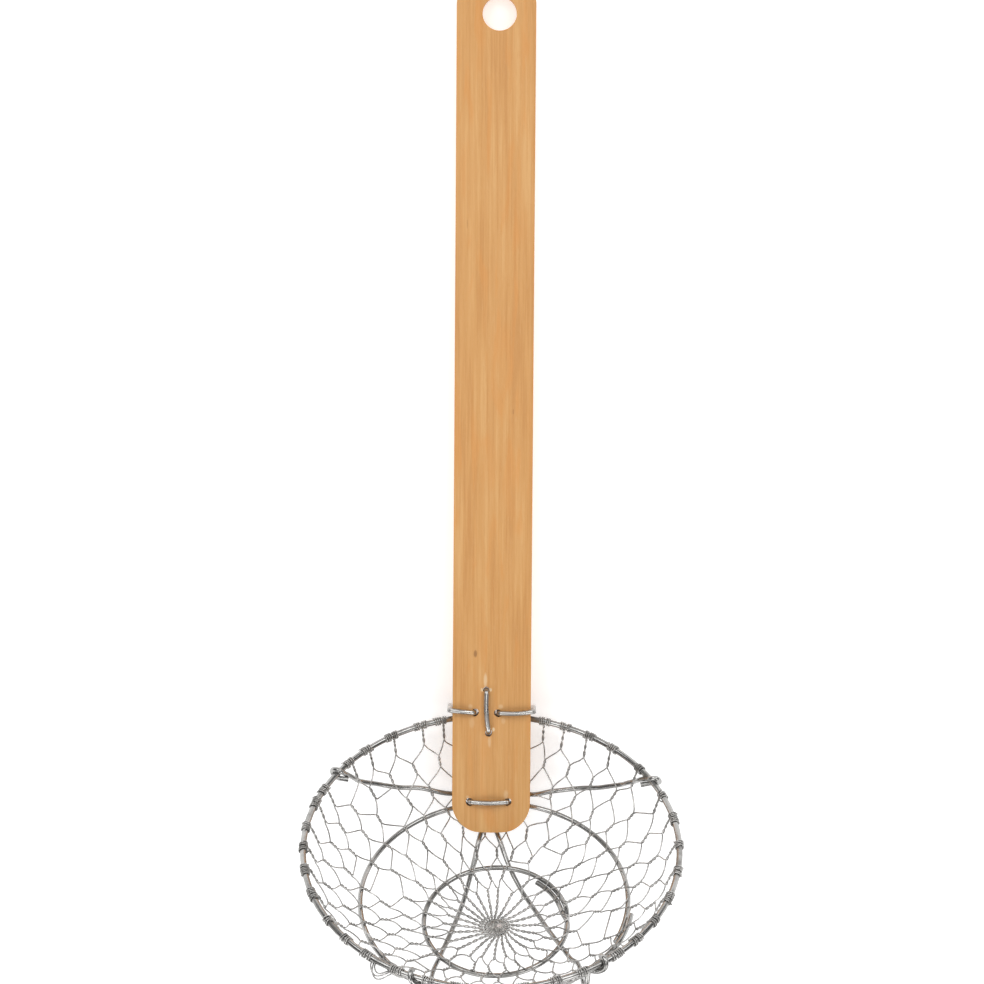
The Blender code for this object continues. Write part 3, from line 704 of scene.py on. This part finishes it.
def between(start, end, share):  # half way back out to the sphere
    centre = Vector((0, 0, bowl["height"]))
    away = start.lerp(end, share) - centre
    if away.length > bowl["sphere"] - net["sag"]:
        away = away.normalized() * (bowl["sphere"] + away.length) / 2
    return belowHandle(centre + away, handle["netBelow"])


def followStrand(rows, row, azimuth, phase, path, chance):  # outwards, from a knot to the rim
    while True:
        here = path[-1][0]
        if row + 1 == len(rows):
            endAtRim(azimuth, phase, path, chance)
            return
        row += 1
        index = next(k for k, (a, way, _) in enumerate(rows[row]) if way == -1 and a == azimuth)
        there = rows[row][index][2]
        turn = math.pi * net["halfTurns"]
        for share in net["pairShares"]:
            path.append((between(here, there, share), phase + turn * share, 1.0))
        phase += turn
        azimuth, phase = crossRow(rows, row, index, phase, path)


def crossRow(rows, row, index, phase, path):  # from a knot to the one beside it, on a single wire
    way = 1 if math.cos(phase) > 0 else -1
    beside = rows[row][(index + way) % len(rows[row])]
    here = path[-1][0]
    path.append((between(here, beside[2], 0.5), phase + math.pi / 2, 1.0))
    path.append((beside[2], phase + math.pi, 1.0))
    return beside[0], phase + math.pi


def endAtRim(azimuth, phase, path, chance):  # the wire leaves its partner and winds round the rim
    way = 1 if math.cos(phase) > 0 else -1
    radius, steps, uneven = net["windRadius"], net["windSteps"], net["uneven"]
    touch = roundRim(azimuth, net["meetsRim"], radius + net["touchRoom"])
    here = path[-1][0]
    for share in net["rimShares"]:
        turned = phase + math.pi * net["halfTurns"] * share
        path.append((here.lerp(touch, share), turned, 1.0 - 0.3 * share))
    turns = chance.choice(net["windings"]) + (0 if way > 0 else chance.choice((-1, 0)))
    start = net["windStart"] + chance.uniform(0.0, uneven)
    for k in range(turns * steps + chance.choice((0, 2, 4))):
        turn = net["meetsRim"] - math.tau * k / steps
        along = way * (start + net["windPitch"] * k / steps)
        winding = roundRim(azimuth, turn, radius + chance.uniform(0.0, uneven), along)
        path.append((winding, phase, 0.0))
    standOff = radius + chance.uniform(*net["looseEnd"])
    path.append((roundRim(azimuth, turn - net["looseTurn"], standOff, along), phase, 0.0))


def hubArm(azimuth, phase, there):  # from the hub's swirl to the first knot
    arm, first = [], net["rows"][0][0]
    for share in net["armShares"]:
        arc = net["hubRadius"] + (first - net["hubRadius"]) * share
        swirl = azimuth + net["swirl"] * (1 - share) ** 6
        point = netPoint(arc, swirl, -net["hubSink"] * (1 - share) ** 3)
        if share > 0.5:
            point = point.lerp(there, (share - 0.5) * 2)
        turned = phase + math.pi * net["hubHalfTurns"] * share
        arm.append((point, turned, min(1.0, 0.5 + 4 * share)))
    return arm


def netPaths():
    chance = random.Random(net["seed"] + 1)
    rows = netKnots()
    paths = []
    for index, (azimuth, way, there) in enumerate(rows[0]):
        if way == 1:
            continue
        arms = []
        for phase in (0.0, math.pi):  # a hub strand's two wires are one, folded at the hub
            arm = hubArm(azimuth, phase, there)
            end = phase + math.pi * net["hubHalfTurns"]
            nextAzimuth, turned = crossRow(rows, 0, index, end, arm)
            followStrand(rows, 0, nextAzimuth, turned, arm, chance)
            arms.append(arm)
        sink = chance.uniform(*net["foldSink"])
        fold = netPoint(net["foldRadius"], azimuth + net["foldTurn"], -sink)
        paths.append(inwards(arms[0]) + [(fold, math.pi, 0.4)] + arms[1])
    for row, knots in enumerate(rows):
        for index, (azimuth, way, point) in enumerate(knots):
            following = knots[(index + 1) % len(knots)]
            if way != 1 or following[1] != 1:
                continue
            # a wire is added where two outer knots stand side by side
            back = [(point, 0.0, 1.0)]
            followStrand(rows, row, azimuth, 0.0, back, chance)
            on = [(following[2], math.pi, 1.0)]
            followStrand(rows, row, following[0], math.pi, on, chance)
            paths.append(inwards(back) + on)
    paths = [roundCorners(path) for path in paths] + [looseLoop(*loop) for loop in net["loops"]]
    return [([(bowlSpace @ place, *rest) for place, *rest in path], False) for path in paths]


def looseLoop(begin, end, bulge):
    path = []
    low, climb = net["loopTurn"]
    for k in range(net["loopSteps"] + 1):
        share = k / net["loopSteps"]
        azimuth = math.radians(begin + (end - begin) * share)
        lifted = max(0.0, math.sin(math.pi * (share * 1.3 - 0.15)))
        turn = math.radians(low + climb * min(1.0, 5 * share, 5 - 5 * share))
        path.append((roundRim(azimuth, turn, net["windRadius"] + bulge * lifted), 0.0, 0.0))
    return path


def inwards(path):  # the other way along a wire, its phases seen from there
    return [(point, math.pi - phase, twist) for point, phase, twist in reversed(path)]


def roundCorners(path):  # a sharp turn of the mesh becomes two soft ones
    rounded = [path[0]]
    for before, corner, after in zip(path, path[1:], path[2:]):
        back, on = before[0] - corner[0], after[0] - corner[0]
        if min(before[2], corner[2], after[2]) < 0.5 or back.angle(on) > net["softFrom"]:
            rounded.append(corner)
            continue
        for arm, end in ((back, before), (on, after)):
            share = min(net["cornerShare"], net["cornerReach"] / arm.length)
            phase, twist = (corner[k] + (end[k] - corner[k]) * share for k in (1, 2))
            rounded.append((corner[0] + arm * share, phase, twist))
    return [*rounded, path[-1]]


sealLook = {"finish": "lashingSteel", "slot": "net_steel"}
seal = {
    "radius": 1.7,
    "height": 0.6,
    "shift": (0.9, 0.3),
    "sides": 28,
    "wire": {"diameter": 0.54, "sides": 6, "step": 0.4, **sealLook},
    "loops": 3,
    "loopSteps": 12,
    "loopArc": (2.3, 1.2, 0.71),  # middle, swing and its pace
    "loopDepth": (0.55, 0.45, 1.7),
    "loopWander": 0.4,
    "sink": 0.35,
}


def makeHub():  # binding wire and a drop of solder that hold the strands' folds
    chance = random.Random(net["seed"] + 3)
    turns, wander = [], seal["loopWander"]
    for k in range(seal["loopSteps"] * seal["loops"]):
        arc, depth = (
            middle + swing * math.sin(k * pace)
            for middle, swing, pace in (seal["loopArc"], seal["loopDepth"])
        )
        arc += chance.uniform(-wander, wander)
        turns.append(netPoint(arc, math.tau * k / seal["loopSteps"], -depth))
    makeWire("hubBinding", turns, bowlSpace, seal["wire"])
    shape = bmesh.new()
    sides = seal["sides"]
    bmesh.ops.create_uvsphere(shape, u_segments=sides, v_segments=sides // 2, radius=1.0)
    middle = netPoint(0.0, 0.0, -seal["sink"]) + Vector((*seal["shift"], 0))
    for corner in shape.verts:
        way = math.atan2(corner.co.y, corner.co.x)
        reach = seal["radius"] * (1 + 0.10 * math.sin(2 * way + 0.6) + 0.06 * math.sin(3 * way))
        place = Vector((corner.co.x * reach, corner.co.y * reach, corner.co.z * seal["height"]))
        corner.co = bowlSpace @ (middle + place)
    drop = meshPiece("hubSeal", shape)
    drop.data.materials.append(finishes["solder"])
    drop.data.shade_smooth()
    settle(drop, "net_steel")


def makeNet():
    sweepWires("wireNetting", netPaths(), netWire, "wire_net")
    makeHub()


# Braces
braces = {
    "wire": {"diameter": bowl["braceWire"], "sides": 20, "step": 0.6, **frameLook},
    "turnFromRim": 8.0,  # how far below the rim the near hook begins
    "hookRadius": 2.42,
    "nearTurns": (-125, -92, -60, -25, 10, 45, 80, 115, 150),  # round the rim, in degrees
    "bendRoom": 1.4,
    "steps": 5,
    "rise": 2.4,  # of the upper brace where the two cross
    "crossingFlat": 2.5,
    "crossingSpread": 4.5,
    "crossingSteps": 4,
    "hooks": (20, 12),  # points of a route that can't be at the crossing, at either end
    # far: points from the tail round the far hook and down to the net's outside; upper and
    # lower: places on it; leg and bend: across, behind the handle; turn and near: azimuths in
    # degrees where the near hook begins and at each of its turns
    "left": {
        "far": (
            (-58.7, 40.3, -3.2), (-60.9, 40.4, -2.8), (-63.0, 40.6, -2.4), (-64.8, 41.7, -1.5),
            (-65.3, 42.0, 0.0), (-64.6, 41.4, 1.6), (-62.8, 40.2, 2.4), (-61.6, 39.9, 1.8),
            (-60.1, 41.1, -0.5), (-58.6, 43.0, -3.5), (-56.7, 45.6, -7.5), (-54.4, 47.8, -11.5),
        ),
        "upper": ((-46.5, 51.5), (-38.2, 53.9), (-29.0, 56.4), (-16.6, 57.2)),
        "leg": -8.9,
        "bend": -4.6,
        "lower": (
            (2.2, 45.6), (7.4, 32.1), (12.4, 21.3), (19.0, 8.8), (27.5, -9.7),
            (32.1, -21.4), (35.5, -30.8),
        ),
        "turn": 299.5,
        "near": (300.6, 301.6, 302.8, 303.8, 304.5, 304.9, 305.1, 305.2, 305.2),
    },
    "right": {
        "far": (
            (61.1, 37.6, -3.2), (63.7, 37.9, -2.8), (66.2, 38.1, -2.4), (68.4, 37.4, -1.5),
            (68.6, 36.8, 0.0), (67.9, 36.2, 1.6), (67.1, 35.7, 2.4), (65.1, 36.4, 1.8),
            (63.1, 38.6, -0.5), (61.0, 41.0, -3.5), (59.2, 44.2, -7.5), (56.1, 46.1, -10.5),
            (53.3, 48.0, -13.4),
        ),
        "upper": ((45.2, 51.3), (36.3, 54.4), (25.7, 56.4), (16.6, 57.0)),
        "leg": 6.5,
        "bend": 2.2,
        "lower": (
            (-4.2, 45.5), (-7.4, 33.1), (-11.4, 16.3), (-16.2, 0.0), (-20.4, -15.2),
            (-23.8, -33.3),
        ),
        "turn": 252,
        "near": (251.2, 250.1, 248.8, 247.7, 246.9, 246.4, 246.1, 245.9, 245.9),
    },
}


def braceRoute(values):
    outside = bowl["sphere"] + bowl["braceOffset"]
    ringTurn = math.asin(bowl["middleRadius"] / (bowl["sphere"] + bowl["ringOffset"]))
    room = (bowl["ringWire"] + bowl["braceWire"]) / 2 + bowl["lashingWire"] + braces["bendRoom"]
    bend = outside * math.sin(ringTurn + room / bowl["sphere"])
    behind = [(x, math.sqrt(bend**2 - x**2)) for x in (values["leg"], values["bend"])]
    hook = math.radians(values["turn"])
    finish = bowlPoint(bowl["rimArc"] - braces["turnFromRim"], hook, bowl["braceOffset"])
    places = [Vector(place) for place in (*values["upper"], *behind, *values["lower"], finish.xy)]
    below = bowl["netRoom"] + bowl["braceWire"] / 2 + 2 * bowl["gap"]
    route = [
        belowHandle(lift(place.x, place.y, bowl["braceOffset"]), below)
        for place in smoothThrough(places, braces["steps"])
    ]
    far = [Vector(point) for point in values["far"]]
    near = [
        roundRim(math.radians(azimuth), math.radians(turn), braces["hookRadius"])
        for azimuth, turn in zip(values["near"], braces["nearTurns"])
    ]
    return [*far, *route, *near]


def stepOver(route, other):  # one brace steps out over the other where they cross
    centre = Vector((0, 0, bowl["height"]))
    first, last = braces["hooks"]
    steps = braces["crossingSteps"]
    middle, beside = (smoothThrough(way[first:-last], steps) for way in (route, other))
    pairs = (((a - b).length, a) for a in middle for b in beside)
    crossing = min(pairs, key=lambda pair: pair[0])[1]
    stepped = []
    for point in route:
        away = max(0.0, (point - crossing).length - braces["crossingFlat"])
        rise = braces["rise"] * math.exp(-((away / braces["crossingSpread"]) ** 2))
        stepped.append(point + (point - centre).normalized() * rise)
    return stepped


def makeBraces():
    left, right = braceRoute(braces["left"]), braceRoute(braces["right"])
    makeWire("braceLeft", left, bowlSpace, braces["wire"], "brace_wire_left")
    over = stepOver(right, left)
    makeWire("braceRight", over, bowlSpace, braces["wire"], "brace_wire_right")


# Handle
def handleOutline():
    half, corner, steps = handle["width"] / 2, handle["corner"], handle["cornerSteps"]
    top, bottom = handle["foot"] + handle["length"], handle["foot"]
    points = []
    for y, way in ((top, 1), (bottom, -1)):
        end = []
        for side in (1, -1):
            centre = (side * (half - corner), y - way * (corner + handle["bulge"]))
            for k in range(steps + 1):
                turn = math.pi / 2 * (k / steps if side == 1 else 1 - k / steps)
                x = centre[0] + side * corner * math.cos(turn)
                end.append((x, centre[1] + way * corner * math.sin(turn)))
        end.insert(steps + 1, (0.0, y - way * handle["bulge"]))
        end = [(x, place + way * handle["bulge"] * (1 - (x / half) ** 2)) for x, place in end]
        points += end if way == 1 else end[::-1]
    return points


def cutter(x, y, radius, sides, chipped=0.0):
    shape = bmesh.new()
    sizes = {"radius1": radius, "radius2": radius, "depth": handle["cutterLength"]}
    bmesh.ops.create_cone(shape, cap_ends=True, segments=sides, **sizes)
    for corner in shape.verts:
        way = math.atan2(corner.co.y, corner.co.x)
        uneven = 1 + chipped * (math.sin(2 * way + x) + 0.4 * math.sin(5 * way + y))
        corner.co.x *= uneven
        corner.co.y *= uneven
    middle = (handle["back"] + handle["front"]) / 2
    bmesh.ops.translate(shape, verts=shape.verts, vec=(x, y, middle))
    return meshPiece("holeCutter", shape)


def makeHandle():
    shape = bmesh.new()
    ring = [shape.verts.new((x, y, handle["back"])) for x, y in handleOutline()]
    raised = bmesh.ops.extrude_face_region(shape, geom=[shape.faces.new(ring)])["geom"]
    for corner in raised:
        if isinstance(corner, bmesh.types.BMVert):
            corner.co.z = handle["front"]
    bmesh.ops.recalc_face_normals(shape, faces=shape.faces)
    slat = meshPiece("slat", shape)
    slat.rotation_euler.z = -handle["lean"]
    hangingY = handle["foot"] + handle["length"] - handle["hangingMargin"]
    hang = Vector((handle["hangingShift"], hangingY))
    hang.rotate(Matrix.Rotation(-handle["lean"], 2))
    holes = [cutter(*hang, handle["hangingHole"] / 2, handle["hangingSides"])]
    for x, y, wide in handle["ties"]:
        holes.append(cutter(x, y, wide, handle["tieSides"], handle["chipped"]))
    for hole in holes:
        cut = slat.modifiers.new("hole", "BOOLEAN")
        cut.operation = "DIFFERENCE"
        cut.object = hole
    rounded = slat.modifiers.new("rounded", "BEVEL")
    rounded.width = handle["edge"]
    rounded.segments = handle["edgeSteps"]
    rounded.limit_method = "ANGLE"
    rounded.angle_limit = handle["sharpFrom"]
    piece = bakeDown(slat, "bambooHandle")
    for hole in holes:
        bpy.data.objects.remove(hole, do_unlink=True)
    piece.data.transform(handleSpace @ Matrix.Rotation(-handle["lean"], 4, "Z"))
    piece.data.materials.clear()
    piece.data.materials.append(finishes["bamboo"])
    piece.data.shade_smooth()
    piece.data.set_sharp_from_angle(angle=handle["smoothTo"])
    settle(piece, "bamboo", "bamboo_handle")


# Lashings
lashingLook = {"finish": "lashingSteel", "slot": "lashing_steel"}
lashings = {
    "wire": {"diameter": bowl["lashingWire"], "sides": 20, "step": 0.35, **lashingLook},
    "bend": 1.5,
    "bendSteps": 6,
    "endGap": 1.2,
    "hookReach": 3.0,  # how far past the rim the side ties' ends lie
    "behindRim": 2.62,  # how far the rim with its windings reaches back
    "leftEdgeY": 4.0,
    "rightEdgeY": 3.4,
    "bowSteps": 8,
    # how far each one's run over the front is bowed
    "bows": ((0, 0, 0.5), (0, -0.3, 0.5), (-0.4, 0, 0.6), (0, -0.2, 0.6)),
}


def bendCorners(points):
    radius, steps = lashings["bend"], lashings["bendSteps"]
    route = [points[0]]
    for before, corner, after in zip(points, points[1:], points[2:]):
        back, on = (before - corner).normalized(), (after - corner).normalized()
        half = back.angle(on) / 2
        reach = radius / math.tan(half)
        reach = min(reach, (before - corner).length * 0.49, (after - corner).length * 0.49)
        bend = reach * math.tan(half)
        centre = corner + (back + on).normalized() * bend / math.sin(half)
        start = corner + back * reach - centre
        axis = start.cross(corner + on * reach - centre)
        for k in range(steps + 1):
            turn = Matrix.Rotation((math.pi - 2 * half) * k / steps, 3, axis)
            route.append(centre + turn @ start)
    return [*route, points[-1]]


def bowed(route, shift):  # the run over the handle's front is a little curved
    def run(k):
        start, end = route[k], route[k + 1]
        return (end - start).length if min(start.z, end.z) > handle["front"] else 0

    longest = max(range(len(route) - 1), key=run)
    start, end = route[longest], route[longest + 1]
    shares = [k / lashings["bowSteps"] for k in range(1, lashings["bowSteps"])]
    middle = [start.lerp(end, s) + Vector(shift) * math.sin(math.pi * s) for s in shares]
    return route[: longest + 1] + middle + route[longest + 1 :]


def sideTie(hole, edgeY, way):  # round the rim, up the hole, over the edge and back
    rise = bowl["lashingWire"] / 2 + bowl["gap"]
    front, back = handle["front"] + rise, -(lashings["behindRim"] + rise)
    edgeX = way * (handle["width"] / 2 + rise)
    middle = (hole[0] + edgeX) / 2
    apart = way * (bowl["lashingWire"] + lashings["endGap"]) / 2
    hookY = -lashings["hookReach"]
    places = (
        (middle - apart, hookY, back), (*hole, back), (*hole, front),
        (edgeX, edgeY, front), (edgeX, edgeY, back), (middle + apart, hookY, back),
    )
    return [Vector(place) for place in places]


def staple(one, two, back, aside):  # its ends lie side by side behind what it holds
    front = handle["front"] + bowl["lashingWire"] / 2 + bowl["gap"]
    one, two = Vector(one), Vector(two)
    beside = Vector(aside) * (bowl["lashingWire"] + bowl["gap"])
    inset = (two - one).normalized() * (bowl["lashingWire"] + lashings["endGap"])
    places = (
        (two - inset, back), (one, back), (one, front), (two, front), (two, back),
        (two + beside - inset, back), (one + beside + inset, back),
    )
    return [Vector((*place, height)) for place, height in places]


def makeLashings():
    leftHole, rightHole, topHole, bottomHole = handle["tieHoles"]
    behindRim = -(lashings["behindRim"] + bowl["lashingWire"] / 2 + bowl["gap"])
    y = handle["lowerTieY"]
    lashed = bowl["braceOffset"] + (bowl["braceWire"] + bowl["lashingWire"]) / 2
    outside = bowl["sphere"] + lashed + bowl["braceWire"] + 2 * bowl["gap"]
    centre = bowlToHandle @ Vector((0, 0, bowl["height"]))
    behindBraces = centre.z - math.sqrt(outside**2 - (centre.y - y) ** 2)
    left, right = ((x, y) for x in handle["lowerTieX"])
    ties = (
        ("lashingLeft", "upper_lashing_left", sideTie(leftHole, lashings["leftEdgeY"], -1)),
        ("lashingRight", "upper_lashing_right", sideTie(rightHole, lashings["rightEdgeY"], 1)),
        ("lashingMiddle", "upper_lashing_middle", staple(topHole, bottomHole, behindRim, (1, 0))),
        ("lashingLower", "lower_lashing", staple(left, right, behindBraces, (0, 1))),
    )
    for (name, node, corners), bow in zip(ties, lashings["bows"]):
        makeWire(name, bowed(bendCorners(corners), bow), handleSpace, lashings["wire"], node)


makeRings()
makeNet()
makeBraces()
makeHandle()
makeLashings()

# Stage, light and camera
stage = {
    "floorReach": 4,
    "floor": {
        "Base Color": (0.93, 0.93, 0.93, 1),
        "Roughness": 0.9,
        "Specular IOR Level": 0.1,
        "Emission Color": (1, 1, 1, 1),
        "Emission Strength": 0.36,
    },
    "world": {"Color": (1, 1, 1, 1), "Strength": 0.16},
    "aim": (0, 0, 0.03),
    # name: place in metres, size, power in watts
    "lights": {
        "farLeftSoftbox": ((-0.85, 1.15, 1.30), 1.3, 13.5),
        "farRightSoftbox": ((0.85, 1.15, 1.30), 1.3, 13.5),
        "nearLeftSoftbox": ((-0.95, -1.25, 1.20), 1.3, 13.5),
        "nearRightSoftbox": ((0.95, -1.25, 1.20), 1.3, 13.5),
        "topSoftbox": ((0.0, 0.1, 1.9), 0.8, 4.5),
    },
}


def makeStage():
    mesh = bpy.data.meshes.new("floor")
    reach = stage["floorReach"]
    corners = [(-reach, -reach, 0), (reach, -reach, 0), (reach, reach, 0), (-reach, reach, 0)]
    mesh.from_pydata(corners, [], [(0, 1, 2, 3)])
    material, _, shader = newMaterial("paleFloor")
    mesh.materials.append(material)
    placed("floor", mesh)
    world = bpy.data.worlds.new("studio")
    world.use_nodes = True
    bpy.context.scene.world = world
    sky = world.node_tree.nodes["Background"]
    for node, values in ((shader, stage["floor"]), (sky, stage["world"])):
        for name, value in values.items():
            node.inputs[name].default_value = value
    for name, (place, size, power) in stage["lights"].items():
        light = bpy.data.lights.new(name, "AREA")
        light.shape = "RECTANGLE"
        light.size = light.size_y = size
        light.energy = power
        lamp = placed(name, light)
        lamp.location = place
        aim = Vector(stage["aim"]) - Vector(place)
        lamp.rotation_mode = "QUATERNION"
        lamp.rotation_quaternion = aim.to_track_quat("-Z", "Y")


# The camera was fitted to the three rings in the photograph, in the bowl's space
view = {
    "place": (-0.08, -812.98, 841.84),
    "right": (1.0, 0.00165, 0.00203),
    "up": (-0.0026, 0.63034, 0.77631),
    "lens": 106.54,
    "sensor": 36,
    "clip": (0.1, 20),
}


def makeCamera():
    camera = bpy.data.cameras.new("photoCamera")
    camera.lens = view["lens"]
    camera.sensor_width = view["sensor"]
    camera.clip_start, camera.clip_end = view["clip"]
    taker = placed("photoCamera", camera)
    turn = bowlSpace.to_3x3().normalized()
    right = (turn @ Vector(view["right"])).normalized()
    up = turn @ Vector(view["up"])
    back = right.cross(up).normalized()
    up = back.cross(right)
    axes = Matrix((right, up, back)).transposed().to_4x4()
    taker.matrix_world = Matrix.Translation(bowlSpace @ Vector(view["place"])) @ axes
    bpy.context.scene.camera = taker


makeStage()
makeCamera()
bpy.context.scene.view_settings.view_transform = "Standard"
print("stage, light and camera ready")
